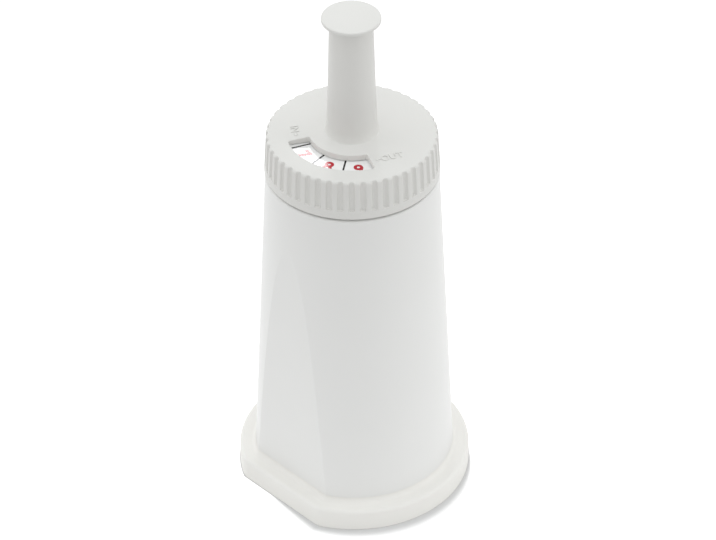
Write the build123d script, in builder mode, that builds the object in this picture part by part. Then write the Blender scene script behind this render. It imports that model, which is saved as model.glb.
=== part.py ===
from build123d import *
import os

# Water filter cartridge with a month dial: a tapered housing with one flat facet on a soft base seal,
# and a fluted dial with a grip stem on top. Millimetres, +Z up, the flat faces -Y, the floor is z = 0.

os.makedirs("parts", exist_ok=True)

# Housing
housing_top = 89.1  # shoulder under the dial
housing_low_radius = 24.7  # where the wall leaves the seal
housing_high_radius = 20.87  # at the shoulder
housing_wall = 1.5
facet_top = 75.65  # height at which the flat facet runs out
facet_edge = 1.2  # rounding along the facet's outline
shoulder_edge = 0.5
flange_reach = 1.9  # foot flange beyond the wall
flange_thickness = 1.6
neck_wall = 1.5
roof_wall = 1.5
post_radius = 3.9  # pivot of the dial
post_height = 8.0
post_wall = 1.3
post_chamfer = 0.6

# Base seal
seal_width = 4.0  # from the housing wall to the outside
seal_height = 6.9  # top of the collar that hugs the housing wall
seal_shoulder = 5.6  # flat top behind its rounded outer edge
seal_edge = 1.7
collar_wall = 0.5
collar_fillet = 1.2
seal_corner = 5.0  # plan rounding where the flat meets the round
seal_lip = 3.8  # width of the foot that it stands on
seal_clearance = 0.1

# Base cover
base_recess = 0.8  # underside of the cover above the floor
cover_thickness = 1.8
cover_clearance = 0.3  # between the cover and the seal's lip
rim_wall = 1.4
rim_clearance = 0.15
slot_count = 16
slot_width = 2.2
slot_margin = 1.4  # from a slot's ends to the walls beside it

# Outlet socket in the base cover
socket_radius = 6.0
socket_depth = 12.0
socket_wall = 3.2
socket_chamfer = 0.6
ring_section = 0.9  # radius of the O-ring's section
ring_proud = 0.15  # how far the O-ring stands into the socket
ring_clearance = 0.06
ring_height = 6.0  # its middle above the floor
ledge_height = 1.5  # step that the outlet tube stands on
tube_grip = 6.0  # length of the tube held by the socket

# Filling
lower_fleece_thickness = 3.0
upper_fleece_thickness = 2.5
filling_clearance = 0.2
sieve_height = 5.0
sieve_plate = 1.5
sieve_rim = 1.4
sieve_slot_count = 20
sieve_slot_width = 1.6
tube_radius = 4.7
tube_wall = 1.2
tube_clearance = 0.05
tube_headroom = 4.0  # from the tube's open top to the roof

# Month ring
month_ring_thickness = 0.8
month_ring_gap = 0.2  # to the dial above it
month_ring_inset = 0.8  # from the edge of the neck
peg_radius = 0.9
peg_circle = 8.6
peg_clearance = 0.1

# Dial
dial_gap = 0.7  # open line between the shoulder and the dial
dial_height = 11.2  # up to the foot of the grip stem
dial_fall = 1.05  # of its top, from the stem's foot to the edge
dial_radius = 21.05  # at its lower edge
dial_top_radius = 20.53
dial_edge = 0.7
dial_roof = 1.8
skirt_wall = 2.1
band_height = 2.35  # plain band under the flutes
flute_count = 48
flute_turn = 0.75  # angle of the first flute
flute_depth = 0.65
flute_width = 1.5
window_margin = 5.45  # from the dial's lower edge to the window
window_width = 5.26
window_start = -119.6
window_end = -23.9
window_corner = 0.5

# Snap between the dial and the neck
snap_gap = 0.3
bead_height = 0.65
bead_length = 1.3
bead_rise = 0.6  # from the dial's lower edge to its bead
lip_reach = 0.65
lip_length = 1.3

# Grip stem on the dial
grip_height = 32.0  # from the dial's top to the top of the flange
grip_flange_radius = 7.05
grip_flange_edge = 0.35
grip_flange_thickness = 0.8
grip_flange_cone = 0.8
stem_top_radius = 5.2
stem_foot_radius = 5.97
foot_radius = 6.5
foot_height = 2.6
stem_wall = 1.8
stem_roof = 2.5
pivot_clearance = 0.08
thrust_gap = 0.1

# Heights and radii that follow
housing_bottom = base_recess + cover_thickness
shoulder_underside = housing_top - housing_wall
wall_slope = (housing_low_radius - housing_high_radius) / (housing_top - seal_height)
facet_distance = housing_low_radius - wall_slope * (facet_top - seal_height)
seal_radius = housing_low_radius + seal_width
seal_flat = facet_distance + seal_width
flange_inset = seal_width - flange_reach
dial_bottom = housing_top + dial_gap
dial_top = dial_bottom + dial_height
dial_underside = dial_top - dial_roof
dial_rim = dial_top - dial_fall
dial_slope = (dial_radius - dial_top_radius) / (dial_rim - dial_bottom)
flute_bottom = dial_bottom + band_height
grip_top = dial_top + grip_height
ring_top = dial_underside - month_ring_gap
roof_top = ring_top - month_ring_thickness
roof_underside = roof_top - roof_wall
post_top = roof_top + post_height
skirt_radius = dial_radius - skirt_wall
lip_radius = skirt_radius - snap_gap
neck_radius = lip_radius - lip_reach
bead_radius = skirt_radius - bead_height
bead_bottom = dial_bottom + bead_rise
bead_top = bead_bottom + bead_length
lip_bottom = bead_top + snap_gap
lip_top = lip_bottom + lip_length
window_outer = dial_radius - window_margin
window_inner = window_outer - window_width
bore_radius = post_radius + pivot_clearance
hub_radius = bore_radius + stem_wall
hub_bottom = roof_top + thrust_gap
sieve_bottom = shoulder_underside - sieve_height
bed_top = sieve_bottom - upper_fleece_thickness
bed_bottom = housing_bottom + lower_fleece_thickness
socket_top = base_recess + socket_depth
tube_bottom = socket_top + ledge_height
tower_top = tube_bottom + tube_grip
tower_radius = socket_radius + socket_wall
tube_top = roof_underside - tube_headroom
tube_bore = tube_radius - tube_wall


def housing_radius(height):
    """Radius of the housing's outer wall at a height."""
    return housing_low_radius - wall_slope * (height - seal_height)


def tapered_body(low, high, inset):
    """The housing's taper with its facet between two heights, inset from the outer wall."""
    low_radius = housing_radius(low) - inset
    with BuildPart(mode=Mode.PRIVATE) as body:
        with BuildSketch(Plane.XZ):
            with BuildLine():
                Polyline(
                    (0, low),
                    (low_radius, low),
                    (housing_radius(high) - inset, high),
                    (0, high),
                    close=True,
                )
            make_face()
        revolve(axis=Axis.Z)
        with Locations((0, inset - facet_distance, low)):
            Box(
                2 * low_radius,
                low_radius,
                high - low,
                align=(Align.CENTER, Align.MAX, Align.MIN),
                mode=Mode.SUBTRACT,
            )
    return body.part


def foot_outline(inset):
    """The seal's plan, round with one flat and rounded corners, inset from its outside."""
    radius = seal_radius - inset
    with BuildSketch(mode=Mode.PRIVATE) as plan:
        Circle(radius)
        with Locations((0, inset - seal_flat)):
            Rectangle(2 * radius, radius, align=(Align.CENTER, Align.MAX), mode=Mode.SUBTRACT)
        fillet(plan.vertices(), seal_corner - inset)
    return plan.sketch


# Housing: tapered shell, foot flange, shoulder, neck with its snap lip, roof and pivot post
housing_skin = tapered_body(housing_bottom, housing_top, 0)
housing_space = tapered_body(housing_bottom, shoulder_underside, housing_wall)
neck_bore = neck_radius - neck_wall
with BuildPart() as housing:
    add(housing_skin)
    facet = housing.faces().sort_by(Axis.Y)[0]
    fillet(facet.edges().filter_by(GeomType.LINE, reverse=True), facet_edge)
    fillet(housing.faces().sort_by(Axis.Z)[-1].edges(), shoulder_edge)
    with BuildSketch(Plane.XY.offset(housing_bottom)):
        add(foot_outline(flange_inset))
    extrude(amount=flange_thickness)
    with BuildSketch(Plane.XZ):
        with BuildLine():
            Polyline(
                (0, shoulder_underside),
                (neck_radius, shoulder_underside),
                (neck_radius, lip_bottom),
                (lip_radius, lip_bottom),
                (neck_radius, lip_top),
                (neck_radius, roof_top),
                (post_radius, roof_top),
                (post_radius, post_top - post_chamfer),
                (post_radius - post_chamfer, post_top),
                (0, post_top),
                close=True,
            )
        make_face()
    revolve(axis=Axis.Z)
    with BuildSketch(Plane.XY.offset(roof_top)):
        with PolarLocations(peg_circle, 2):
            Circle(peg_radius)
    extrude(amount=month_ring_thickness)
    add(housing_space, mode=Mode.SUBTRACT)
    with BuildSketch(Plane.XZ):
        with BuildLine():
            Polyline(
                (0, shoulder_underside),
                (neck_bore, shoulder_underside),
                (neck_bore, roof_underside),
                (post_radius - post_wall, roof_underside),
                (post_radius - post_wall, post_top - post_wall),
                (0, post_top - post_wall),
                close=True,
            )
        make_face()
    revolve(axis=Axis.Z, mode=Mode.SUBTRACT)
housing.part.label = "housing"
export_step(housing.part, "parts/housing.step")

# Base cover: plate with inlet slots, locating rim and the outlet socket tower
cover_inset = seal_lip + cover_clearance
rim_inset = housing_wall + rim_clearance
rim_radius = housing_radius(bed_bottom) - rim_inset
rim_flat = facet_distance - rim_inset
slot_inner = tower_radius + slot_margin
slot_outer = rim_flat - rim_wall - slot_margin


def rim_outline(inset):
    """Plan of the cover's locating rim, inset from its outside."""
    radius = rim_radius - inset
    with BuildSketch(mode=Mode.PRIVATE) as plan:
        Circle(radius)
        with Locations((0, inset - rim_flat)):
            Rectangle(2 * radius, radius, align=(Align.CENTER, Align.MAX), mode=Mode.SUBTRACT)
    return plan.sketch


with BuildPart() as base_cover:
    with BuildSketch(Plane.XY.offset(base_recess)):
        add(foot_outline(cover_inset))
    extrude(amount=cover_thickness)
    with BuildSketch(Plane.XY.offset(housing_bottom)):
        add(rim_outline(0))
        add(rim_outline(rim_wall), mode=Mode.SUBTRACT)
    extrude(amount=lower_fleece_thickness)
    with BuildSketch(Plane.XY.offset(base_recess)):
        Circle(tower_radius)
    extrude(amount=tower_top - base_recess)
    with BuildSketch(Plane.XY.offset(base_recess)):
        with PolarLocations((slot_inner + slot_outer) / 2, slot_count):
            Rectangle(slot_outer - slot_inner, slot_width)
    extrude(amount=cover_thickness, mode=Mode.SUBTRACT)
    groove_radius = socket_radius - ring_proud + 2 * ring_section + ring_clearance
    groove_half = ring_section + ring_clearance
    with BuildSketch(Plane.XZ):
        with BuildLine():
            Polyline(
                (0, base_recess),
                (socket_radius + socket_chamfer, base_recess),
                (socket_radius, base_recess + socket_chamfer),
                (socket_radius, ring_height - groove_half),
                (groove_radius, ring_height - groove_half),
                (groove_radius, ring_height + groove_half),
                (socket_radius, ring_height + groove_half),
                (socket_radius, socket_top),
                (tube_bore, socket_top),
                (tube_bore, tube_bottom),
                (tube_radius + tube_clearance, tube_bottom),
                (tube_radius + tube_clearance, tower_top),
                (0, tower_top),
                close=True,
            )
        make_face()
    revolve(axis=Axis.Z, mode=Mode.SUBTRACT)
base_cover.part.label = "base_cover"
export_step(base_cover.part, "parts/base_cover.step")

# Base seal: soft ring that grips the foot flange, with a rounded edge and a collar that rises to the wall
seal_hole = tapered_body(housing_bottom, seal_height, -seal_clearance)
with BuildPart() as base_seal:
    with BuildSketch():
        add(foot_outline(0))
    extrude(amount=seal_shoulder)
    with BuildSketch(Plane.XY.offset(seal_shoulder)):
        add(foot_outline(seal_width - collar_wall))
    extrude(amount=seal_height - seal_shoulder)
    land = base_seal.faces().filter_by(Axis.Z).sort_by(Axis.Z)[-2]
    fillet(land.outer_wire().edges(), seal_edge)
    land = base_seal.faces().filter_by(Axis.Z).sort_by(Axis.Z)[-2]
    fillet(land.inner_wires()[0].edges(), collar_fillet)
    with BuildSketch():
        add(foot_outline(seal_lip))
    extrude(amount=housing_bottom, mode=Mode.SUBTRACT)
    with BuildSketch(Plane.XY.offset(housing_bottom)):
        add(foot_outline(flange_inset - seal_clearance))
    extrude(amount=flange_thickness + seal_clearance, mode=Mode.SUBTRACT)
    add(seal_hole, mode=Mode.SUBTRACT)
base_seal.part.label = "base_seal"
export_step(base_seal.part, "parts/base_seal.step")

# O-ring in the outlet socket
with BuildPart() as socket_o_ring:
    with BuildSketch(Plane.XZ):
        with Locations((socket_radius - ring_proud + ring_section, ring_height)):
            Circle(ring_section)
    revolve(axis=Axis.Z)
socket_o_ring.part.label = "socket_o_ring"
export_step(socket_o_ring.part, "parts/socket_o_ring.step")

# Outlet tube on the axis, from the space under the roof to the socket
with BuildPart() as outlet_tube:
    with BuildSketch(Plane.XY.offset(tube_bottom)):
        Circle(tube_radius)
        Circle(tube_bore, mode=Mode.SUBTRACT)
    extrude(amount=tube_top - tube_bottom)
outlet_tube.part.label = "outlet_tube"
export_step(outlet_tube.part, "parts/outlet_tube.step")

# Lower fleece on the cover's slots, inside its rim
with BuildPart() as lower_fleece:
    with BuildSketch(Plane.XY.offset(housing_bottom)):
        add(rim_outline(rim_wall + filling_clearance))
        Circle(tower_radius + filling_clearance, mode=Mode.SUBTRACT)
    extrude(amount=lower_fleece_thickness)
lower_fleece.part.label = "lower_fleece"
export_step(lower_fleece.part, "parts/lower_fleece.step")

# Granulate bed around the socket tower and the tube
filling_inset = housing_wall + filling_clearance
bed_space = tapered_body(bed_bottom, bed_top, filling_inset)
with BuildPart() as resin_bed:
    add(bed_space)
    with BuildSketch(Plane.XY.offset(bed_bottom)):
        Circle(tower_radius + filling_clearance)
    extrude(amount=tower_top + filling_clearance - bed_bottom, mode=Mode.SUBTRACT)
    with BuildSketch(Plane.XY.offset(bed_bottom)):
        Circle(tube_radius + filling_clearance)
    extrude(amount=bed_top - bed_bottom, mode=Mode.SUBTRACT)
resin_bed.part.label = "resin_bed"
export_step(resin_bed.part, "parts/resin_bed.step")

# Upper fleece on the bed
upper_fleece_space = tapered_body(bed_top, sieve_bottom, filling_inset)
with BuildPart() as upper_fleece:
    add(upper_fleece_space)
    with BuildSketch(Plane.XY.offset(bed_top)):
        Circle(tube_radius + filling_clearance)
    extrude(amount=upper_fleece_thickness, mode=Mode.SUBTRACT)
upper_fleece.part.label = "upper_fleece"
export_step(upper_fleece.part, "parts/upper_fleece.step")

# Upper sieve: slotted disc whose rim bears on the underside of the shoulder
sieve_skin = tapered_body(sieve_bottom, shoulder_underside, filling_inset)
sieve_space = tapered_body(sieve_bottom + sieve_plate, shoulder_underside, filling_inset + sieve_rim)
sieve_slot_inner = tube_radius + slot_margin
sieve_slot_outer = min(neck_bore, facet_distance - filling_inset - sieve_rim) - slot_margin
with BuildPart() as upper_sieve:
    add(sieve_skin)
    add(sieve_space, mode=Mode.SUBTRACT)
    with BuildSketch(Plane.XY.offset(sieve_bottom)):
        Circle(tube_radius + tube_clearance)
        with PolarLocations((sieve_slot_inner + sieve_slot_outer) / 2, sieve_slot_count):
            Rectangle(sieve_slot_outer - sieve_slot_inner, sieve_slot_width)
    extrude(amount=sieve_plate, mode=Mode.SUBTRACT)
upper_sieve.part.label = "upper_sieve"
export_step(upper_sieve.part, "parts/upper_sieve.step")

# Month ring on the roof, held by two pegs
with BuildPart() as month_ring:
    with BuildSketch(Plane.XY.offset(roof_top)):
        Circle(neck_radius - month_ring_inset)
        Circle(hub_radius + month_ring_inset, mode=Mode.SUBTRACT)
        with PolarLocations(peg_circle, 2):
            Circle(peg_radius + peg_clearance, mode=Mode.SUBTRACT)
    extrude(amount=month_ring_thickness)
month_ring.part.label = "month_ring"
export_step(month_ring.part, "parts/month_ring.step")

# Dial with its grip stem: one turned profile, then the window and the flutes are cut
flange_underside = grip_top - grip_flange_thickness
stem_top = flange_underside - grip_flange_cone
stem_bottom = dial_top + foot_height
core_top = grip_top - stem_roof
core_top_radius = stem_top_radius - stem_wall
bearing_top = post_top + thrust_gap
flute_radius = (flute_depth**2 + (flute_width / 2) ** 2) / (2 * flute_depth)
flute_place = dial_radius - dial_slope * band_height - flute_depth + flute_radius
flute_plane = Plane(origin=(flute_place, 0, flute_bottom), x_dir=(0, 1, 0), z_dir=(-dial_slope, 0, 1))
with BuildPart(mode=Mode.PRIVATE) as flute:
    with BuildSketch(flute_plane):
        Circle(flute_radius)
    extrude(amount=dial_height)
with BuildPart() as dial_cap:
    with BuildSketch(Plane.XZ) as profile:
        with BuildLine():
            Line((0, grip_top), (grip_flange_radius - grip_flange_edge, grip_top))
            RadiusArc(
                (grip_flange_radius - grip_flange_edge, grip_top),
                (grip_flange_radius, grip_top - grip_flange_edge),
                grip_flange_edge,
            )
            Polyline(
                (grip_flange_radius, grip_top - grip_flange_edge),
                (grip_flange_radius, flange_underside),
                (stem_top_radius, stem_top),
                (stem_foot_radius, stem_bottom),
            )
            TangentArc(
                (stem_foot_radius, stem_bottom),
                (foot_radius, dial_top),
                tangent=(stem_foot_radius - stem_top_radius, stem_bottom - stem_top),
            )
            Polyline(
                (foot_radius, dial_top),
                (dial_top_radius, dial_rim),
                (dial_radius, dial_bottom),
                (skirt_radius, dial_bottom),
                (skirt_radius, bead_bottom),
                (bead_radius, bead_top),
                (skirt_radius, bead_top),
                (skirt_radius, dial_underside),
                (hub_radius, dial_underside),
                (hub_radius, hub_bottom),
                (bore_radius, hub_bottom),
                (bore_radius, bearing_top),
                (core_top_radius, core_top),
                (0, core_top),
                (0, grip_top),
            )
        make_face()
        fillet(profile.vertices().sort_by_distance((dial_top_radius, dial_rim))[0], dial_edge)
    revolve(axis=Axis.Z)
    with BuildSketch(Plane.XY.offset(dial_underside)) as window:
        with BuildLine():
            outer_arc = CenterArc((0, 0), window_outer, window_start, window_end - window_start)
            inner_arc = CenterArc((0, 0), window_inner, window_start, window_end - window_start)
            Line(inner_arc @ 0, outer_arc @ 0)
            Line(inner_arc @ 1, outer_arc @ 1)
        make_face()
        fillet(window.vertices(), window_corner)
    extrude(amount=dial_roof, mode=Mode.SUBTRACT)
    with PolarLocations(0, flute_count, start_angle=flute_turn):
        add(flute.part, mode=Mode.SUBTRACT)
dial_cap.part.label = "dial_cap"
export_step(dial_cap.part, "parts/dial_cap.step")
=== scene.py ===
import math

import bmesh
import bpy
from mathutils import Matrix, Quaternion, Vector


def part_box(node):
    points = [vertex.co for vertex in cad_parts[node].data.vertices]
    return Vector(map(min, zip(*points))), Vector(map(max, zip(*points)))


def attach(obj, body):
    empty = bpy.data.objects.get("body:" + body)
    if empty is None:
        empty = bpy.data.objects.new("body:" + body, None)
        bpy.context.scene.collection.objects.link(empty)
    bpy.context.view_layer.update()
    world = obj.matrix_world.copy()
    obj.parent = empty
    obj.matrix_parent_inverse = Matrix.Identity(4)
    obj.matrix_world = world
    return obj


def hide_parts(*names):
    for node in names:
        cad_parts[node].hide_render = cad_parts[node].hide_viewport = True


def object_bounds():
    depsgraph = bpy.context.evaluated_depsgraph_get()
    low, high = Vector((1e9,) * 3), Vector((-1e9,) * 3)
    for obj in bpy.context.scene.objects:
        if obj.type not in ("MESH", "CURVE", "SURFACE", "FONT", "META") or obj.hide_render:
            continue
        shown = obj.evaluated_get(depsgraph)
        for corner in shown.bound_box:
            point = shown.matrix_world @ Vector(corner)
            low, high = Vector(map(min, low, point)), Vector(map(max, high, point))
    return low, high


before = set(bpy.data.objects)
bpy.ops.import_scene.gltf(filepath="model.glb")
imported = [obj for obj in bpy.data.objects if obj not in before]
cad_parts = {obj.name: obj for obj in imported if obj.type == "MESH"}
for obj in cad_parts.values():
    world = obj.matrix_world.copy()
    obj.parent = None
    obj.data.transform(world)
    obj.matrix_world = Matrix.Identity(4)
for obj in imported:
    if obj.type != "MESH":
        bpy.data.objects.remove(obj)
cadLow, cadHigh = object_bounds()
scene = bpy.context.scene
mm = 0.001
weld = 0.001 * mm  # points closer than this are one
creaseAngle = math.radians(40.0)


# Mesh helpers, all in metres

def spread(first, last, count):
    return [first + (last - first) * i / (count - 1) for i in range(count)]


def quarter(count, first=0):  # angles from first degrees to a quarter turn
    return [math.radians(t) for t in spread(first, 90, count)]


def inMetres(values, *whole):  # a piece's millimetres in metres, apart from its counts and angles
    return {key: value if key in whole else value * mm for key, value in values.items()}


def roundRing(bm, radius, height, count=192):
    turns = [2 * math.pi * i / count for i in range(count)]
    return [bm.verts.new((radius * math.cos(t), radius * math.sin(t), height)) for t in turns]


def skin(bm, rings):  # quads between neighbouring rings, facing out where the rings rise
    for low, high in zip(rings, rings[1:]):
        for i in range(len(low)):
            j = (i + 1) % len(low)
            bm.faces.new((low[i], low[j], high[j], high[i]))


def capRing(bm, ring, up):
    face = bm.faces.new(ring if up else ring[::-1])
    face.smooth = False


def fillFlat(bm, loops, up, smooth=False):  # a face between closed loops, the inner ones are holes
    pairs = [pair for loop in loops for pair in zip(loop, loop[1:] + loop[:1])]
    edges = [bm.edges.get(pair) or bm.edges.new(pair) for pair in pairs]
    made = bmesh.ops.triangle_fill(bm, use_beauty=True, edges=edges, normal=(0, 0, 1 if up else -1))
    for face in [item for item in made["geom"] if isinstance(item, bmesh.types.BMFace)]:
        face.normal_update()
        if (face.normal.z > 0) != up:
            face.normal_flip()
        face.smooth = smooth


def newObject(name, bm, material):
    mesh = bpy.data.meshes.new(name)
    bm.to_mesh(mesh)
    bm.free()
    mesh.set_sharp_from_angle(angle=creaseAngle)
    mesh.materials.append(material)
    obj = bpy.data.objects.new(name, mesh)
    scene.collection.objects.link(obj)
    return obj


def finishedMesh(obj):  # with its modifiers or its text worked out
    return bpy.data.meshes.new_from_object(obj.evaluated_get(bpy.context.evaluated_depsgraph_get()))


def standFor(obj, body, node):
    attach(obj, body)
    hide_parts(node)
    print("piece:", obj.name, len(obj.data.polygons), "faces for", node)


def smoothFaces(bm):
    for face in bm.faces:
        face.smooth = True


# Shader helpers

def link(tree, start, end):
    tree.links.new(start, end)


def addSockets(tree, way, kind, *names):
    for name in names:
        tree.interface.new_socket(name, in_out=way, socket_type="NodeSocket" + kind)


def mathNode(tree, operation, first, second):
    node = tree.nodes.new("ShaderNodeMath")
    node.operation = operation
    for socket, value in zip(node.inputs, (first, second)):
        if isinstance(value, float):
            socket.default_value = value
        else:
            link(tree, value, socket)
    return node.outputs[0]


def mouldedSkin():  # mottled tint and fine grain of moulded plastic and rubber
    tree = bpy.data.node_groups.new("mouldedSkin", "ShaderNodeTree")
    addSockets(tree, "INPUT", "Color", "Colour")
    addSockets(tree, "INPUT", "Float", "Mottle", "Patch", "Grain", "Roughness", "Spread")
    addSockets(tree, "OUTPUT", "Color", "Colour")
    addSockets(tree, "OUTPUT", "Float", "Roughness", "Height")
    given = tree.nodes.new("NodeGroupInput")
    out = tree.nodes.new("NodeGroupOutput")
    place = tree.nodes.new("ShaderNodeTexCoord")
    patches = tree.nodes.new("ShaderNodeTexNoise")
    patches.inputs["Detail"].default_value = 3.0
    grain = tree.nodes.new("ShaderNodeTexNoise")
    grain.inputs["Detail"].default_value = 4.0
    grain.inputs["Roughness"].default_value = 0.6
    centred = tree.nodes.new("ShaderNodeMath")
    centred.operation = "SUBTRACT"
    centred.inputs[1].default_value = 0.5
    swing = tree.nodes.new("ShaderNodeMath")
    swing.operation = "MULTIPLY_ADD"
    swing.inputs[2].default_value = 1.0
    tint = tree.nodes.new("ShaderNodeVectorMath")
    tint.operation = "SCALE"
    unevenness = tree.nodes.new("ShaderNodeMath")
    unevenness.operation = "MULTIPLY_ADD"
    for noise, scale in ((patches, "Patch"), (grain, "Grain")):
        link(tree, place.outputs["Object"], noise.inputs["Vector"])
        link(tree, given.outputs[scale], noise.inputs["Scale"])
    link(tree, patches.outputs["Fac"], centred.inputs[0])
    link(tree, centred.outputs[0], swing.inputs[0])
    link(tree, given.outputs["Mottle"], swing.inputs[1])
    link(tree, given.outputs["Colour"], tint.inputs[0])
    link(tree, swing.outputs[0], tint.inputs["Scale"])
    link(tree, grain.outputs["Fac"], unevenness.inputs[0])
    link(tree, given.outputs["Spread"], unevenness.inputs[1])
    link(tree, given.outputs["Roughness"], unevenness.inputs[2])
    link(tree, tint.outputs[0], out.inputs["Colour"])
    link(tree, unevenness.outputs[0], out.inputs["Roughness"])
    link(tree, grain.outputs["Fac"], out.inputs["Height"])
    return tree


skinGroup = mouldedSkin()


def newMaterial(name):
    material = bpy.data.materials.new(name)
    material.use_nodes = True
    return material, material.node_tree, material.node_tree.nodes["Principled BSDF"]


def mouldedMaterial(name, values):
    material, tree, shader = newMaterial(name)
    group = tree.nodes.new("ShaderNodeGroup")
    group.node_tree = skinGroup
    group.inputs["Colour"].default_value = (*values["colour"], 1.0)
    for key in ("Mottle", "Patch", "Grain", "Roughness", "Spread"):
        group.inputs[key].default_value = values[key.lower()]
    bump = tree.nodes.new("ShaderNodeBump")
    bump.inputs["Strength"].default_value = values["bump"]
    bump.inputs["Distance"].default_value = values["relief"] * mm
    link(tree, group.outputs["Colour"], shader.inputs["Base Color"])
    link(tree, group.outputs["Roughness"], shader.inputs["Roughness"])
    link(tree, group.outputs["Height"], bump.inputs["Height"])
    link(tree, bump.outputs["Normal"], shader.inputs["Normal"])
    shader.inputs["IOR"].default_value = values["ior"]
    return material


finishes = {  # colour is linear, patch and grain are per metre, relief in millimetres
    "whitePlastic": {"colour": (0.839, 0.839, 0.824), "mottle": 0.03, "patch": 45.0, "grain": 2600.0,
                     "roughness": 0.40, "spread": 0.08, "bump": 0.10, "relief": 0.05, "ior": 1.45},
    "greyPlastic": {"colour": (0.750, 0.745, 0.719), "mottle": 0.03, "patch": 60.0, "grain": 2800.0,
                    "roughness": 0.42, "spread": 0.08, "bump": 0.10, "relief": 0.05, "ior": 1.45},
    "creamSeal": {"colour": (0.872, 0.862, 0.828), "mottle": 0.05, "patch": 70.0, "grain": 1800.0,
                  "roughness": 0.50, "spread": 0.12, "bump": 0.16, "relief": 0.08, "ior": 1.45},
    "darkRubber": {"colour": (0.03, 0.03, 0.032), "mottle": 0.25, "patch": 150.0, "grain": 3000.0,
                   "roughness": 0.50, "spread": 0.15, "bump": 0.20, "relief": 0.05, "ior": 1.5},
    "ringWhite": {"colour": (0.93, 0.93, 0.925), "mottle": 0.015, "patch": 120.0, "grain": 3200.0,
                  "roughness": 0.12, "spread": 0.05, "bump": 0.02, "relief": 0.01, "ior": 1.5},
    "numberInk": {"colour": (0.50, 0.012, 0.028), "mottle": 0.20, "patch": 500.0, "grain": 4000.0,
                  "roughness": 0.12, "spread": 0.05, "bump": 0.02, "relief": 0.01, "ior": 1.5},
    "lineInk": {"colour": (0.022, 0.022, 0.024), "mottle": 0.25, "patch": 500.0, "grain": 4000.0,
                "roughness": 0.12, "spread": 0.05, "bump": 0.02, "relief": 0.01, "ior": 1.5},
}
paint = {name: mouldedMaterial(name, values) for name, values in finishes.items()}


def feltMaterial(name, values):  # pressed fibres
    material, tree, shader = newMaterial(name)
    place = tree.nodes.new("ShaderNodeTexCoord")
    fibres = tree.nodes.new("ShaderNodeTexNoise")
    fibres.inputs["Scale"].default_value = values["fibre"]
    fibres.inputs["Detail"].default_value = 8.0
    fibres.inputs["Distortion"].default_value = values["curl"]
    shade = tree.nodes.new("ShaderNodeValToRGB")
    shade.color_ramp.elements[0].position = values["shadowEnd"]
    shade.color_ramp.elements[0].color = (*values["shadow"], 1.0)
    shade.color_ramp.elements[1].position = values["lightStart"]
    shade.color_ramp.elements[1].color = (*values["light"], 1.0)
    bump = tree.nodes.new("ShaderNodeBump")
    bump.inputs["Strength"].default_value = values["bump"]
    bump.inputs["Distance"].default_value = values["relief"] * mm
    link(tree, place.outputs["Object"], fibres.inputs["Vector"])
    link(tree, fibres.outputs["Fac"], shade.inputs["Fac"])
    link(tree, shade.outputs["Color"], shader.inputs["Base Color"])
    link(tree, fibres.outputs["Fac"], bump.inputs["Height"])
    link(tree, bump.outputs["Normal"], shader.inputs["Normal"])
    shader.inputs["Roughness"].default_value = values["roughness"]
    return material


def grainsMaterial(name, values):  # amber resin beads with dark carbon grains among them
    material, tree, shader = newMaterial(name)
    place = tree.nodes.new("ShaderNodeTexCoord")
    beads = tree.nodes.new("ShaderNodeTexVoronoi")
    beads.inputs["Scale"].default_value = 1000.0 / values["grainSize"]
    kinds = tree.nodes.new("ShaderNodeSeparateColor")
    mix = tree.nodes.new("ShaderNodeValToRGB")
    mix.color_ramp.interpolation = "CONSTANT"
    mix.color_ramp.elements[0].color = (*values["carbon"], 1.0)
    mix.color_ramp.elements[1].position = values["carbonShare"]
    mix.color_ramp.elements[1].color = (*values["amber"], 1.0)
    bump = tree.nodes.new("ShaderNodeBump")
    bump.invert = True
    bump.inputs["Strength"].default_value = values["bump"]
    bump.inputs["Distance"].default_value = values["grainSize"] * mm
    link(tree, place.outputs["Object"], beads.inputs["Vector"])
    link(tree, beads.outputs["Color"], kinds.inputs["Color"])
    link(tree, kinds.outputs["Red"], mix.inputs["Fac"])
    link(tree, mix.outputs["Color"], shader.inputs["Base Color"])
    link(tree, beads.outputs["Distance"], bump.inputs["Height"])
    link(tree, bump.outputs["Normal"], shader.inputs["Normal"])
    shader.inputs["Roughness"].default_value = values["roughness"]
    return material


felt = {  # fibre is per metre, relief in millimetres
    "fibre": 2200.0, "curl": 1.4, "bump": 0.6, "relief": 0.3, "roughness": 0.95,
    "shadow": (0.62, 0.62, 0.60), "shadowEnd": 0.3, "light": (0.88, 0.88, 0.86), "lightStart": 0.7,
}
grains = {  # size in millimetres
    "grainSize": 0.9, "bump": 0.8, "roughness": 0.35,
    "carbon": (0.02, 0.02, 0.02), "carbonShare": 0.3, "amber": (0.55, 0.30, 0.10),
}
paint["whiteFelt"] = feltMaterial("whiteFelt", felt)
paint["mixedGrains"] = grainsMaterial("mixedGrains", grains)
print("materials:", len(paint))


# Inner pieces, the base cover and the month ring keep their CAD meshes
cadFinish = {
    "base_cover": "whitePlastic", "outlet_tube": "whitePlastic", "upper_sieve": "whitePlastic",
    "socket_o_ring": "darkRubber", "lower_fleece": "whiteFelt", "upper_fleece": "whiteFelt",
    "resin_bed": "mixedGrains", "month_ring": "ringWhite",
}
for node, finish in cadFinish.items():
    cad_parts[node].data.materials.clear()
    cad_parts[node].data.materials.append(paint[finish])
print("CAD nodes finished:", len(cadFinish))


# Outlines that are round with one flat towards -Y
columns = {"flat": 13, "edge": 9, "round": 145, "leastTurn": 0.01}


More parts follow.
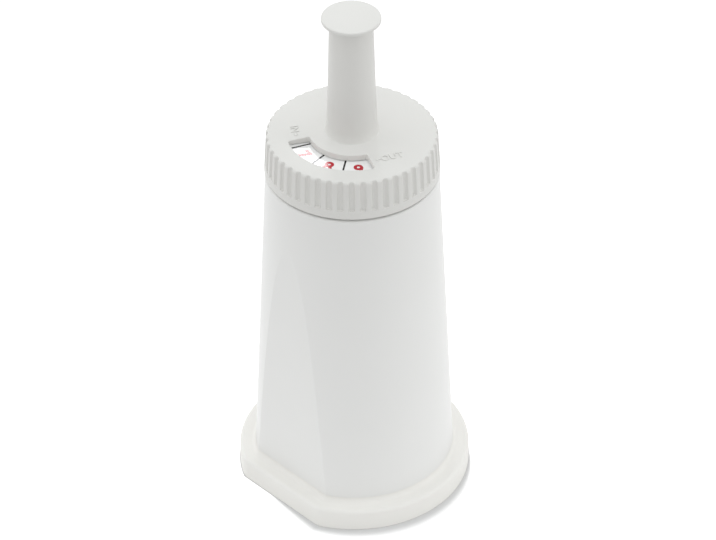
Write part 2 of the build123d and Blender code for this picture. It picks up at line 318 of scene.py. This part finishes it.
def planRadius(angle, radius, flat, corner):  # from the axis to the outline, angle from the flat's middle
    if radius <= flat:
        return radius
    across = math.sqrt((radius - corner) ** 2 - (flat - corner) ** 2)
    if abs(angle) <= math.atan2(across, flat):
        return flat / math.cos(angle)
    if abs(angle) >= math.atan2(across, flat - corner):
        return radius
    reach = across * math.sin(abs(angle)) + (flat - corner) * math.cos(angle)
    return reach + math.sqrt(reach ** 2 - across ** 2 - (flat - corner) ** 2 + corner ** 2)


def planAngles(radius, flat, corner):  # columns that follow the flat's two edges
    across = math.sqrt(max((radius - corner) ** 2 - (flat - corner) ** 2, 0.0)) if radius > flat else 0.0
    flatEnd = max(math.atan2(across, flat), columns["leastTurn"])
    roundStart = max(math.atan2(across, flat - corner), flatEnd + columns["leastTurn"])
    flatPart = spread(-flatEnd, flatEnd, columns["flat"])
    edgePart = spread(flatEnd, roundStart, columns["edge"])
    roundPart = spread(roundStart, 2 * math.pi - roundStart, columns["round"])
    return flatPart[:-1] + edgePart[:-1] + roundPart[:-1] + [-a for a in edgePart[:0:-1]]


def planRing(bm, radius, flat, corner, height):
    ring = []
    for angle in planAngles(radius, flat, corner):
        turn = (angle + math.pi) % (2 * math.pi) - math.pi
        reach = planRadius(turn, radius, flat, corner)
        ring.append(bm.verts.new((reach * math.sin(angle), -reach * math.cos(angle), height)))
    return ring


# Base seal: one soft section swept round the foot
seal = inMetres({
    "edge": 0.9, "shoulder": 5.6, "wall": 4.0, "gap": 0.1, "feather": 0.02, "lip": 3.8, "corner": 5.0,
    "footRound": 0.15, "flangeReach": 1.9, "flangeBottom": 2.6, "flangeTop": 4.2,
})
sealLow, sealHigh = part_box("base_seal")


def sealSection(v, top):  # (inset from the outside, height), up the outside, over the top and back inside
    points = []
    for a in quarter(5):
        points.append((v["footRound"] * (1 - math.sin(a)), v["footRound"] * (1 - math.cos(a))))
    for a in quarter(11):
        points.append((v["edge"] * (1 - math.cos(a)), v["shoulder"] - v["edge"] * (1 - math.sin(a))))
    collar = top - v["shoulder"]  # runs up the wall in a hollow curve to a thin edge
    for a in quarter(13):
        points.append((v["wall"] - v["feather"] - collar * (1 - math.sin(a)), top - collar * math.cos(a)))
    groove = v["wall"] - v["flangeReach"] - v["gap"]
    return points + [
        (v["wall"] - 2 * v["gap"], v["flangeTop"] + v["gap"]),
        (groove, v["flangeTop"] + v["gap"]), (groove, v["flangeBottom"]),
        (v["lip"], v["flangeBottom"]), (v["lip"], 0.0),
    ]


bm = bmesh.new()
rings = []
for inset, height in sealSection(seal, sealHigh.z):
    rings.append(planRing(bm, sealHigh.x - inset, -sealLow.y - inset, seal["corner"] - inset, height))
skin(bm, rings + rings[:1])
smoothFaces(bm)
baseSeal = newObject("footSeal", bm, paint["creamSeal"])
standFor(baseSeal, "cartridge", "base_seal")


# Housing: tapered wall with its facet, foot flange, shoulder, neck, roof and pivot post
housing = inMetres({
    "shoulderTop": 89.1, "lowRadius": 24.7, "highRadius": 20.87, "wall": 1.5, "facetTop": 75.65,
    "facetEdge": 1.2, "shoulderEdge": 0.5, "flangeThickness": 1.6, "flangeCorner": 2.9,
    "neckRadius": 18.0, "lipRadius": 18.65, "lipBottom": 92.0, "lipTop": 93.3, "roofWall": 1.5,
    "postRadius": 3.9, "postWall": 1.3, "postChamfer": 0.6, "pegRadius": 0.9, "pegPlace": 8.6, "pegSides": 24,
    "innerCorner": 0.3, "plainTop": 70.0, "fineStart": 70.4, "fineEnd": 78.0, "upperStart": 79.0,
}, "pegSides")
houseLow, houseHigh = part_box("housing")
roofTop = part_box("month_ring")[0].z
noFlat = cadHigh.x * 2  # a flat this far out leaves the ring round


def wallRadius(height):
    share = (height - sealHigh.z) / (housing["shoulderTop"] - sealHigh.z)
    return housing["lowRadius"] + (housing["highRadius"] - housing["lowRadius"]) * share


facetPlace = wallRadius(housing["facetTop"])
bm = bmesh.new()
rings = []


def addRound(*places):
    for radius, height in places:
        rings.append(planRing(bm, radius, noFlat, mm, height))


underShoulder = housing["shoulderTop"] - housing["wall"]
underRoof = roofTop - housing["roofWall"]
postBore = housing["postRadius"] - housing["postWall"]
neckBore = housing["neckRadius"] - housing["wall"]
addRound((postBore, houseHigh.z - housing["postWall"]), (postBore, underRoof), (neckBore, underRoof),
         (neckBore, underShoulder))
for height in [underShoulder] + spread(housing["facetTop"], houseLow.z, 16):
    inner = wallRadius(height) - housing["wall"]
    rings.append(planRing(bm, inner, facetPlace - housing["wall"], housing["innerCorner"], height))
flangeTop = houseLow.z + housing["flangeThickness"]
for height in (houseLow.z, flangeTop):
    rings.append(planRing(bm, houseHigh.x, -houseLow.y, housing["flangeCorner"], height))
edge = housing["shoulderEdge"]
heights = spread(flangeTop, housing["plainTop"], 34)
heights += spread(housing["fineStart"], housing["fineEnd"], 20)  # closer rows where the facet runs out
heights += spread(housing["upperStart"], housing["shoulderTop"] - edge, 9)
for height in heights:
    rings.append(planRing(bm, wallRadius(height), facetPlace, housing["facetEdge"], height))
for a in quarter(6, 15):
    height = housing["shoulderTop"] - edge * (1 - math.sin(a))
    addRound((wallRadius(height) - edge * (1 - math.cos(a)), height))
post = housing["postRadius"]
addRound((housing["neckRadius"], housing["shoulderTop"]), (housing["neckRadius"], housing["lipBottom"]),
         (housing["lipRadius"], housing["lipBottom"]), (housing["neckRadius"], housing["lipTop"]),
         (housing["neckRadius"], roofTop), (post, roofTop), (post, houseHigh.z - housing["postChamfer"]),
         (post - housing["postChamfer"], houseHigh.z))
skin(bm, rings)
smoothFaces(bm)
capRing(bm, rings[0], False)
capRing(bm, rings[-1], True)
for side in (-1, 1):  # pegs that hold the month ring
    foot = roundRing(bm, housing["pegRadius"], roofTop, housing["pegSides"])
    head = roundRing(bm, housing["pegRadius"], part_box("month_ring")[1].z, housing["pegSides"])
    bmesh.ops.translate(bm, verts=foot + head, vec=(side * housing["pegPlace"], 0, 0))
    skin(bm, [foot, head])
    capRing(bm, foot, False)
    capRing(bm, head, True)
housingShell = newObject("taperedShell", bm, paint["whitePlastic"])
standFor(housingShell, "cartridge", "housing")


# Geometry Nodes: copies of one piece set round the axis

def roundTree():
    tree = bpy.data.node_groups.new("setRoundAxis", "GeometryNodeTree")
    addSockets(tree, "INPUT", "Geometry", "Geometry")
    addSockets(tree, "INPUT", "Int", "Count")
    addSockets(tree, "INPUT", "Float", "Start", "Merge")
    addSockets(tree, "INPUT", "Material", "Material")
    addSockets(tree, "OUTPUT", "Geometry", "Geometry")
    given = tree.nodes.new("NodeGroupInput")
    out = tree.nodes.new("NodeGroupOutput")
    points = tree.nodes.new("GeometryNodePoints")
    index = tree.nodes.new("GeometryNodeInputIndex")
    step = tree.nodes.new("ShaderNodeMath")
    step.operation = "DIVIDE"
    step.inputs[0].default_value = 2 * math.pi
    turn = tree.nodes.new("ShaderNodeMath")
    turn.operation = "MULTIPLY_ADD"
    axis = tree.nodes.new("ShaderNodeCombineXYZ")
    rotation = tree.nodes.new("FunctionNodeEulerToRotation")
    copies = tree.nodes.new("GeometryNodeInstanceOnPoints")
    real = tree.nodes.new("GeometryNodeRealizeInstances")
    merge = tree.nodes.new("GeometryNodeMergeByDistance")
    dress = tree.nodes.new("GeometryNodeSetMaterial")
    link(tree, given.outputs["Count"], points.inputs["Count"])
    link(tree, given.outputs["Count"], step.inputs[1])
    link(tree, index.outputs[0], turn.inputs[0])
    link(tree, step.outputs[0], turn.inputs[1])
    link(tree, given.outputs["Start"], turn.inputs[2])
    link(tree, turn.outputs[0], axis.inputs["Z"])
    link(tree, axis.outputs[0], rotation.inputs[0])
    link(tree, points.outputs[0], copies.inputs["Points"])
    link(tree, given.outputs["Geometry"], copies.inputs["Instance"])
    link(tree, rotation.outputs[0], copies.inputs["Rotation"])
    link(tree, copies.outputs[0], real.inputs[0])
    link(tree, real.outputs[0], merge.inputs["Geometry"])
    link(tree, given.outputs["Merge"], merge.inputs["Distance"])
    link(tree, merge.outputs[0], dress.inputs["Geometry"])
    link(tree, given.outputs["Material"], dress.inputs["Material"])
    link(tree, dress.outputs[0], out.inputs[0])
    return tree


roundAxis = roundTree()


def setRound(obj, count, start):  # mesh of count copies of obj, the first turned by start degrees
    modifier = obj.modifiers.new("setRound", "NODES")
    modifier.node_group = roundAxis
    values = {
        "Count": count, "Start": math.radians(start), "Merge": 2 * weld, "Material": obj.data.materials[0],
    }
    for item in roundAxis.interface.items_tree:
        if item.in_out == "INPUT" and item.name in values:
            modifier[item.identifier] = values[item.name]
    obj.update_tag()
    mesh = finishedMesh(obj)
    obj.modifiers.clear()
    return mesh


# Dial: fluted skirt by Geometry Nodes, then its flat faces, window, inside and grip stem
dial = inMetres({
    "height": 11.2, "fall": 1.05, "topRadius": 20.53, "roof": 1.8, "skirt": 2.1, "band": 2.35,
    "bandEdge": 0.2, "edge": 0.7, "grooveEdge": 0.2, "ridgeRound": 0.2, "grooveReach": 62.0,
    "grooveStart": 0.1, "grooveRise": 0.2, "fluteCount": 48, "fluteTurn": 0.75, "fluteDepth": 0.65,
    "fluteWidth": 1.5, "beadHeight": 0.65, "beadLength": 1.3, "beadRise": 0.6,
    "windowMargin": 5.45, "windowWidth": 5.26, "windowStart": -119.6, "windowEnd": -23.9,
    "windowCorner": 0.5, "windowEdge": 0.2,
}, "fluteCount", "fluteTurn", "grooveReach", "windowStart", "windowEnd")
grooveFoot = ((0.12, 0.35), (0.3, 0.68), (0.6, 0.92), (1.0, 1.0))  # shares of the rise and of the depth
grip = inMetres({
    "flangeRadius": 7.05, "flangeEdge": 0.35, "flangeThickness": 0.8, "flangeCone": 0.8,
    "underReach": 0.1, "underDrop": 0.04, "underRise": 0.06, "topRadius": 5.2, "lowRadius": 5.97,
    "footRadius": 6.5, "footHeight": 2.6, "footRound": 0.1, "flareShare": 0.88,
    "bore": 3.98, "hub": 5.78, "thrust": 0.1, "coreRadius": 3.4, "coreTop": 130.5,
}, "flareShare")
dialLow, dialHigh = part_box("dial_cap")
dialRadius = dialHigh.x
dialBottom = dialLow.z
dialTop = dialBottom + dial["height"]
dialUnder = dialTop - dial["roof"]
dialRim = dialTop - dial["fall"]
topSlope = dial["fall"] / (dial["topRadius"] - grip["footRadius"])


def topHeight(radius):  # the top falls from the stem's foot to the edge
    return dialTop - topSlope * (radius - grip["footRadius"])


def sideInset(height):  # the side leans in towards the top
    return (dialRadius - dial["topRadius"]) * (height - dialBottom) / (dialRim - dialBottom)


def fluteOutline(v):  # one groove with half a ridge each side, as (radius, angle)
    half, depth = v["fluteWidth"] / 2, v["fluteDepth"]
    hollow = (depth ** 2 + half ** 2) / (2 * depth)
    centre = dialRadius - depth + hollow
    reach = math.radians(v["grooveReach"])
    groove = [(centre - hollow * math.cos(t), hollow * math.sin(t)) for t in spread(-reach, reach, 11)]
    crestSide = half + v["ridgeRound"]
    crest = Vector((math.sqrt(dialRadius ** 2 - crestSide ** 2), crestSide))
    foot, corner = Vector(groove[-1]), Vector((dialRadius, half))
    bend = [foot * (1 - t) ** 2 + corner * 2 * t * (1 - t) + crest * t ** 2 for t in (0.25, 0.5, 0.75, 1.0)]
    flat = [(p.x, p.y) for p in bend]
    points = [(x, -y) for x, y in reversed(flat)] + groove + flat
    outline = [(math.hypot(x, y), math.atan2(y, x)) for x, y in points]
    ridge = math.pi / v["fluteCount"]
    return [(dialRadius, -ridge)] + outline + [(dialRadius, ridge)]


def fluteStrip(v):
    bm = bmesh.new()
    outline = fluteOutline(v)
    ledge = dialBottom + v["band"] - v["grooveStart"]
    rows = []
    for height in (dialBottom + v["bandEdge"], ledge):
        rows.append([(dialRadius - sideInset(height), height) for r, a in outline])
    rows.insert(0, [(dialRadius - v["bandEdge"], dialBottom) for r, a in outline])
    for rise, depth in grooveFoot:  # the grooves run out at their foot
        height = ledge + v["grooveRise"] * rise
        side = dialRadius - sideInset(height)
        rows.append([(side - depth * (dialRadius - r), height) for r, a in outline])
    change = v["grooveEdge"] - v["edge"]
    edges = [v["edge"] + change * (dialRadius - r) / v["fluteDepth"] for r, a in outline]
    corners = [r - dialRadius + v["topRadius"] for r, a in outline]
    for t in quarter(9):
        inward, down = 1 - math.cos(t), 1 - math.sin(t)
        rows.append([(c - e * inward, topHeight(c - e * inward) - e * down) for c, e in zip(corners, edges)])
    made = []
    for row in rows:
        turned = [(r, z, a) for (r, z), (_, a) in zip(row, outline)]
        made.append([bm.verts.new((r * math.cos(a), r * math.sin(a), z)) for r, z, a in turned])
    for low, high in zip(made, made[1:]):
        for i in range(len(outline) - 1):
            bm.faces.new((low[i], low[i + 1], high[i + 1], high[i]))
    bmesh.ops.remove_doubles(bm, verts=bm.verts[:], dist=weld)
    smoothFaces(bm)
    return newObject("oneFlute", bm, paint["greyPlastic"])


def boundaryRing(bm, low, high):  # open edge points between two heights, in order round the axis
    slack = 10 * weld
    ring = [v for v in bm.verts if v.is_boundary and low - slack < v.co.z < high + slack]
    return sorted(ring, key=lambda v: math.atan2(v.co.y, v.co.x))


def windowLoop(bm, v, grow, height):  # the arc window's outline, larger by grow, height by radius
    outer = dialRadius - v["windowMargin"] + grow
    inner = dialRadius - v["windowMargin"] - v["windowWidth"] - grow
    corner = v["windowCorner"] + grow
    start, end = math.radians(v["windowStart"]), math.radians(v["windowEnd"])
    bends = quarter(6)
    points = []
    for radius, first, last, facing in ((outer, start, end, 1), (inner, end, start, -1)):
        middle = radius - facing * corner  # circle of the corners' centres
        inset = math.asin((corner - grow) / middle) * facing
        for t in spread(first + inset, last - inset, 61):
            points.append((radius * math.cos(t), radius * math.sin(t)))
        out = Vector((math.cos(last - inset), math.sin(last - inset))) * facing
        side = Vector((-out.y, out.x))
        for a in bends[1:]:
            place = middle * out * facing + corner * (out * math.cos(a) + side * math.sin(a))
            points.append((place.x, place.y))
        nextRadius = inner + corner if facing > 0 else outer - corner
        nextInset = math.asin((corner - grow) / nextRadius)
        nextTurn = end - nextInset if facing > 0 else start + nextInset
        out = Vector((math.cos(nextTurn), math.sin(nextTurn))) * facing
        side = Vector((-out.y, out.x))
        for a in bends[:-1]:
            place = nextRadius * out * facing + corner * (side * math.cos(a) - out * math.sin(a))
            points.append((place.x, place.y))
    return [bm.verts.new((x, y, height(math.hypot(x, y)))) for x, y in points]


def gripProfile(v, top):  # (radius, height) from the foot on the dial to the flange
    end = Vector((v["lowRadius"], dialTop + v["footHeight"]))
    lean = Vector((v["topRadius"], top - v["flangeThickness"] - v["flangeCone"])) - end
    down = -lean.normalized()
    out = Vector((-down.y, down.x))
    corner = Vector((v["footRadius"], dialTop))
    across, along = (corner - end).dot(out), (corner - end).dot(down)
    sweep = 2 * math.atan2(across, along)
    bend = (across ** 2 + along ** 2) / (2 * across)  # radius of the foot's flare
    turns = spread(sweep * v["flareShare"], 0, 9)
    flare = [end + bend * (math.sin(t) * down + (1 - math.cos(t)) * out) for t in turns]
    startRadius = v["footRadius"] + v["footRound"]
    start = Vector((startRadius, topHeight(startRadius)))
    points = [start * (1 - t) ** 2 + corner * 2 * t * (1 - t) + flare[0] * t ** 2 for t in spread(0, 0.8, 5)]
    points = [(p.x, p.y) for p in points + flare]
    under = top - v["flangeThickness"]
    for t in spread(0.05, 1.0, 12):
        points.append((end.x + lean.x * t, end.y + lean.y * t))
    points.append((v["flangeRadius"] - v["underReach"], under - v["underDrop"]))
    points.append((v["flangeRadius"], under + v["underRise"]))
    for a in quarter(7):
        radius = v["flangeRadius"] - v["flangeEdge"] * (1 - math.cos(a))
        points.append((radius, top - v["flangeEdge"] * (1 - math.sin(a))))
    return points


flute = fluteStrip(dial)
bm = bmesh.new()
bm.from_mesh(setRound(flute, dial["fluteCount"], dial["fluteTurn"]))
bpy.data.objects.remove(flute)
topRing = boundaryRing(bm, dialUnder, dialTop)
lowRing = boundaryRing(bm, dialBottom, dialBottom)
skirtRadius = dialRadius - dial["skirt"]
beadLow = dialBottom + dial["beadRise"]
beadTop = beadLow + dial["beadLength"]
hubBottom = roofTop + grip["thrust"]
bearingTop = houseHigh.z + grip["thrust"]
inside = [roundRing(bm, r, z) for r, z in (
    (skirtRadius, dialUnder), (skirtRadius, beadTop), (skirtRadius - dial["beadHeight"], beadTop),
    (skirtRadius, beadLow), (skirtRadius, dialBottom))]
hub = [roundRing(bm, r, z) for r, z in (
    (grip["coreRadius"], grip["coreTop"]), (grip["bore"], bearingTop), (grip["bore"], hubBottom),
    (grip["hub"], hubBottom), (grip["hub"], dialUnder))]
stem = [roundRing(bm, r, z) for r, z in gripProfile(grip, dialHigh.z)]
bevel = dial["windowEdge"]
window = []
for t in quarter(5):
    grow, drop = bevel * (1 - math.sin(t)), bevel * (1 - math.cos(t))
    window.append(windowLoop(bm, dial, grow, lambda radius: topHeight(radius) - drop))
window.append(windowLoop(bm, dial, 0.0, lambda radius: dialUnder))
skin(bm, inside)
skin(bm, hub)
skin(bm, stem)
skin(bm, window)
smoothFaces(bm)
capRing(bm, hub[0], False)
capRing(bm, stem[-1], True)
fillFlat(bm, [topRing, window[0], stem[0]], True, True)
fillFlat(bm, [inside[0], window[-1], hub[-1]], False)
fillFlat(bm, [lowRing, inside[-1]], False)
dialCap = newObject("monthDial", bm, paint["greyPlastic"])
standFor(dialCap, "dial", "dial_cap")


# Lettering: text made a mesh, then set on a circle with its top towards the axis

def letterMesh(text, height, weight, depth):
    half = 0.5  # half of the depth before it is scaled
    curve = bpy.data.curves.new("letters", "FONT")
    curve.body = text
    curve.align_x = "CENTER"
    curve.offset = weight
    curve.extrude = half
    curve.resolution_u = 8
    obj = bpy.data.objects.new("letters", curve)
    scene.collection.objects.link(obj)
    mesh = finishedMesh(obj)
    bpy.data.objects.remove(obj)
    xs, ys = [v.co.x for v in mesh.vertices], [v.co.y for v in mesh.vertices]
    size = height / (max(ys) - min(ys))
    mesh.transform(Matrix.Translation((-(max(xs) + min(xs)) / 2, -(max(ys) + min(ys)) / 2, half)))
    mesh.transform(Matrix.Diagonal((size, size, depth, 1.0)))
    return mesh


def onCircle(radius, angle, height):  # x runs on counter-clockwise, y points to the axis
    a = math.radians(angle)
    out = Vector((math.cos(a), math.sin(a), 0))
    along = Vector((-out.y, out.x, 0))
    place = Matrix((along, -out, Vector((0, 0, 1)))).transposed().to_4x4()
    place.translation = out * radius + Vector((0, 0, height))
    return place


def joinMeshes(bm, mesh, place):
    mesh.transform(place)
    bm.from_mesh(mesh)
    bpy.data.meshes.remove(mesh)


months = inMetres({  # the print sits a little off the axis
    "count": 12, "numberHeight": 3.6, "numberPlace": 14.1, "inkDepth": 0.03, "weight": 0.033,
    "monthEight": -68.7, "lineWidth": 0.42, "lineInner": 9.4, "lineOuter": 16.4, "lineTurn": -113.2,
    "offX": -0.28, "offY": 0.63,
}, "count", "weight", "monthEight", "lineTurn")
monthTurn = 360.0 / months["count"]
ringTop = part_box("month_ring")[1].z
printPlace = Vector((months["offX"], months["offY"], 0))
bm = bmesh.new()
for month in range(1, months["count"] + 1):
    number = letterMesh(str(month), months["numberHeight"], months["weight"], months["inkDepth"])
    turn = months["monthEight"] + monthTurn * (month - 8)
    joinMeshes(bm, number, onCircle(months["numberPlace"], turn, ringTop))
bmesh.ops.translate(bm, verts=bm.verts[:], vec=printPlace)
monthNumbers = newObject("monthNumbers", bm, paint["numberInk"])
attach(monthNumbers, "cartridge")

bm = bmesh.new()
bar = bmesh.ops.create_cube(bm, size=1.0)["verts"]
barLength = months["lineOuter"] - months["lineInner"]
bmesh.ops.scale(bm, verts=bar, vec=(barLength, months["lineWidth"], months["inkDepth"]))
barMiddle = (months["lineInner"] + barLength / 2, 0, ringTop + months["inkDepth"] / 2)
bmesh.ops.translate(bm, verts=bar, vec=barMiddle)
oneLine = newObject("oneLine", bm, paint["lineInk"])
monthLines = bpy.data.objects.new("monthLines", setRound(oneLine, months["count"], months["lineTurn"]))
bpy.data.objects.remove(oneLine)
monthLines.data.transform(Matrix.Translation(printPlace))
scene.collection.objects.link(monthLines)
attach(monthLines, "cartridge")
print("month ring:", months["count"], "numbers and lines")


marks = inMetres({  # two straight rows, each square to the radius at its turn
    "height": 1.9, "relief": 0.14, "weight": 0.01, "arrowLength": 1.5, "arrowHead": 1.0, "arrowBar": 0.3,
    "inTurn": -126.0, "inPlace": 13.4, "inText": -2.7, "inArrow": -0.4,
    "outTurn": -22.0, "outPlace": 13.1, "outText": 4.85, "outArrow": 1.28,
}, "weight", "inTurn", "outTurn")


def arrowMesh(v, way):  # a small arrow along x, way +1 or -1
    half, head, bar = v["arrowLength"] / 2, v["arrowHead"] / 2, v["arrowBar"] / 2
    outline = [(-half, -bar), (0, -bar), (0, -head), (half, 0), (0, head), (0, bar), (-half, bar)]
    bm = bmesh.new()
    foot = [bm.verts.new((way * x, way * y, 0)) for x, y in outline]
    face = bm.faces.new(foot)
    raised = bmesh.ops.extrude_face_region(bm, geom=[face])["geom"]
    top = [item for item in raised if isinstance(item, bmesh.types.BMVert)]
    bmesh.ops.translate(bm, verts=top, vec=(0, 0, v["relief"]))
    bmesh.ops.recalc_face_normals(bm, faces=bm.faces[:])
    mesh = bpy.data.meshes.new("arrow")
    bm.to_mesh(mesh)
    bm.free()
    return mesh


bm = bmesh.new()
for row, text, way in (("in", "IN", 1), ("out", "OUT", -1)):
    line = onCircle(marks[row + "Place"], marks[row + "Turn"], 0.0)
    letters = letterMesh(text, marks["height"], marks["weight"], marks["relief"])
    joinMeshes(bm, letters, line @ Matrix.Translation((marks[row + "Text"], 0, 0)))
    joinMeshes(bm, arrowMesh(marks, way), line @ Matrix.Translation((marks[row + "Arrow"], 0, 0)))
for v in bm.verts:  # down onto the sloping top
    v.co.z += topHeight(math.hypot(v.co.x, v.co.y))
dialMarks = newObject("dialMarks", bm, paint["greyPlastic"])
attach(dialMarks, "dial")
print("dial marks: IN and OUT with arrows")


# Floor, world and lamps
studio = {  # lengths in metres; the floor is paler near the object and greyer further out
    "floorSize": 6.0, "nearColour": 0.92, "farColour": 0.58, "paleReach": 0.13, "greyStart": 0.22,
    "footGlow": 0.0, "openGlow": 0.5, "glowReach": 0.006, "fill": 0.702,
    # the next two lines set a painted shadow: how dark the floor colour gets near the foot, how far out it
    # reaches and which way it falls
    "shade": 0.28, "paintedShadeStart": 0.0010, "paintedShadeEnd": 0.0041, "paintedShadeTurn": 0.25, "paintedShadeLeast": 0.08,
    "paintedShadeWay": (0.906, -0.423, 0.0),
}


def seenDirectly(tree):  # 1 for camera, mirror and see-through rays
    path = tree.nodes.new("ShaderNodeLightPath")
    either = mathNode(tree, "MAXIMUM", path.outputs["Is Camera Ray"], path.outputs["Is Glossy Ray"])
    return mathNode(tree, "MAXIMUM", either, path.outputs["Is Transmission Ray"])


def fade(tree, value, start, end, first, last):
    node = tree.nodes.new("ShaderNodeMapRange")
    node.interpolation_type = "SMOOTHSTEP"
    for name, setting in (("From Min", start), ("From Max", end), ("To Min", first), ("To Max", last)):
        node.inputs[name].default_value = setting
    link(tree, value, node.inputs["Value"])
    return node.outputs["Result"]


def floorMaterial(v):  # white as seen, apart from a painted shadow close to the foot
    material, tree, shader = newMaterial("paleFloor")
    place = tree.nodes.new("ShaderNodeTexCoord")
    along = tree.nodes.new("ShaderNodeSeparateXYZ")
    reach = tree.nodes.new("ShaderNodeVectorMath")
    reach.operation = "LENGTH"
    toFront = tree.nodes.new("ShaderNodeVectorMath")
    toFront.operation = "DOT_PRODUCT"
    toFront.inputs[1].default_value = v["paintedShadeWay"]
    for node in (along, reach, toFront):
        link(tree, place.outputs["Object"], node.inputs[0])
    reach, toFront = reach.outputs["Value"], toFront.outputs["Value"]
    fromRound = mathNode(tree, "SUBTRACT", reach, float(sealHigh.x))
    toFlat = mathNode(tree, "MULTIPLY", along.outputs["Y"], -1.0)
    fromFlat = mathNode(tree, "SUBTRACT", toFlat, float(-sealLow.y))
    away = mathNode(tree, "MAXIMUM", fromRound, fromFlat)
    seen = seenDirectly(tree)
    turned = mathNode(tree, "SUBTRACT", mathNode(tree, "DIVIDE", toFront, reach), v["paintedShadeTurn"])
    facing = mathNode(tree, "DIVIDE", turned, 1.0 - v["paintedShadeTurn"])
    front = mathNode(tree, "MAXIMUM", facing, v["paintedShadeLeast"])
    out = mathNode(tree, "DIVIDE", away, front)  # shrinks the painted shadow towards the sides
    glow = fade(tree, out, 0.0, v["glowReach"], v["footGlow"], v["openGlow"])
    link(tree, mathNode(tree, "MULTIPLY", seen, glow), shader.inputs["Emission Strength"])
    # painted shadow: for camera, mirror and see-through rays the floor colour is darkened near the foot, most
    # towards the front
    shade = fade(tree, out, v["paintedShadeStart"], v["paintedShadeEnd"], v["shade"], 0.0)
    kept = mathNode(tree, "SUBTRACT", 1.0, mathNode(tree, "MULTIPLY", seen, shade))
    tone = fade(tree, reach, v["paleReach"], v["greyStart"], v["nearColour"], v["farColour"])
    link(tree, mathNode(tree, "MULTIPLY", tone, kept), shader.inputs["Base Color"])
    shader.inputs["Emission Color"].default_value = (1.0, 1.0, 1.0, 1.0)
    shader.inputs["Roughness"].default_value = 1.0
    shader.inputs["Specular IOR Level"].default_value = 0.0
    return material


bm = bmesh.new()
bmesh.ops.create_grid(bm, x_segments=1, y_segments=1, size=studio["floorSize"] / 2)
floor = newObject("paleFloor", bm, floorMaterial(studio))

world = bpy.data.worlds.new("studio")
scene.world = world
world.use_nodes = True
tree = world.node_tree
tree.nodes.clear()
seen = tree.nodes.new("ShaderNodeBackground")
fill = tree.nodes.new("ShaderNodeBackground")
for node, strength in ((seen, 1.0), (fill, studio["fill"])):
    node.inputs["Color"].default_value = (1.0, 1.0, 1.0, 1.0)
    node.inputs["Strength"].default_value = strength
choose = tree.nodes.new("ShaderNodeMixShader")
shown = tree.nodes.new("ShaderNodeOutputWorld")
link(tree, seenDirectly(tree), choose.inputs[0])
link(tree, fill.outputs[0], choose.inputs[1])
link(tree, seen.outputs[0], choose.inputs[2])
link(tree, choose.outputs[0], shown.inputs["Surface"])

white, cool = (1.0, 1.0, 1.0), (0.86, 0.96, 1.0)
lamps = {  # place and size in metres, power in watts
    "overhead": {"place": (0.0, 0.0, 1.166), "size": 0.8, "power": 1.83, "tint": cool},
    "frontAbove": {"place": (0.4214, -0.4027, 0.9989), "size": 0.8, "power": 0.8, "tint": white},
    "behind": {"place": (-0.5634, 0.5101, 0.6594), "size": 0.12, "power": 0.5, "tint": white},
    "right": {"place": (0.5843, 0.6114, 0.3738), "size": 0.6, "power": 1.31, "tint": white},
    "backLeft": {"place": (-0.8455, -0.0192, 0.3738), "size": 0.6, "power": 0.97, "tint": white},
    "left": {"place": (-0.5843, -0.6114, 0.3738), "size": 0.6, "power": 0.63, "tint": white},
}
aim = Vector((0, 0, (cadLow.z + cadHigh.z) / 2))
for name, values in lamps.items():
    light = bpy.data.lights.new(name, "AREA")
    light.size = values["size"]
    light.energy = values["power"]
    light.color = values["tint"]
    lamp = bpy.data.objects.new(name, light)
    lamp.location = values["place"]
    lamp.rotation_mode = "QUATERNION"
    lamp.rotation_quaternion = (aim - lamp.location).to_track_quat("-Z", "Y")
    scene.collection.objects.link(lamp)
print("studio:", len(lamps), "lamps")


# Camera at the photograph's viewing angle
view = {
    "azimuth": 46.3, "elevation": 37.42, "distance": 0.9623, "targetHeight": 0.06728, "lens": 200.05,
    "sensor": 36.0, "roll": -0.457, "shiftX": 0.00713, "shiftY": -0.0391,
}
a, e = math.radians(view["azimuth"]), math.radians(view["elevation"])
back = Vector((math.sin(a) * math.cos(e), -math.cos(a) * math.cos(e), math.sin(e)))
lens = bpy.data.cameras.new("photoView")
lens.sensor_width = view["sensor"]
lens.lens = view["lens"]
lens.shift_x = view["shiftX"]
lens.shift_y = view["shiftY"]
camera = bpy.data.objects.new("photoView", lens)
camera.location = Vector((0, 0, view["targetHeight"])) + back * view["distance"]
camera.rotation_mode = "QUATERNION"
roll = Quaternion((0, 0, 1), math.radians(view["roll"]))
camera.rotation_quaternion = (-back).to_track_quat("-Z", "Y") @ roll
scene.collection.objects.link(camera)
scene.camera = camera
scene.view_settings.view_transform = "Standard"
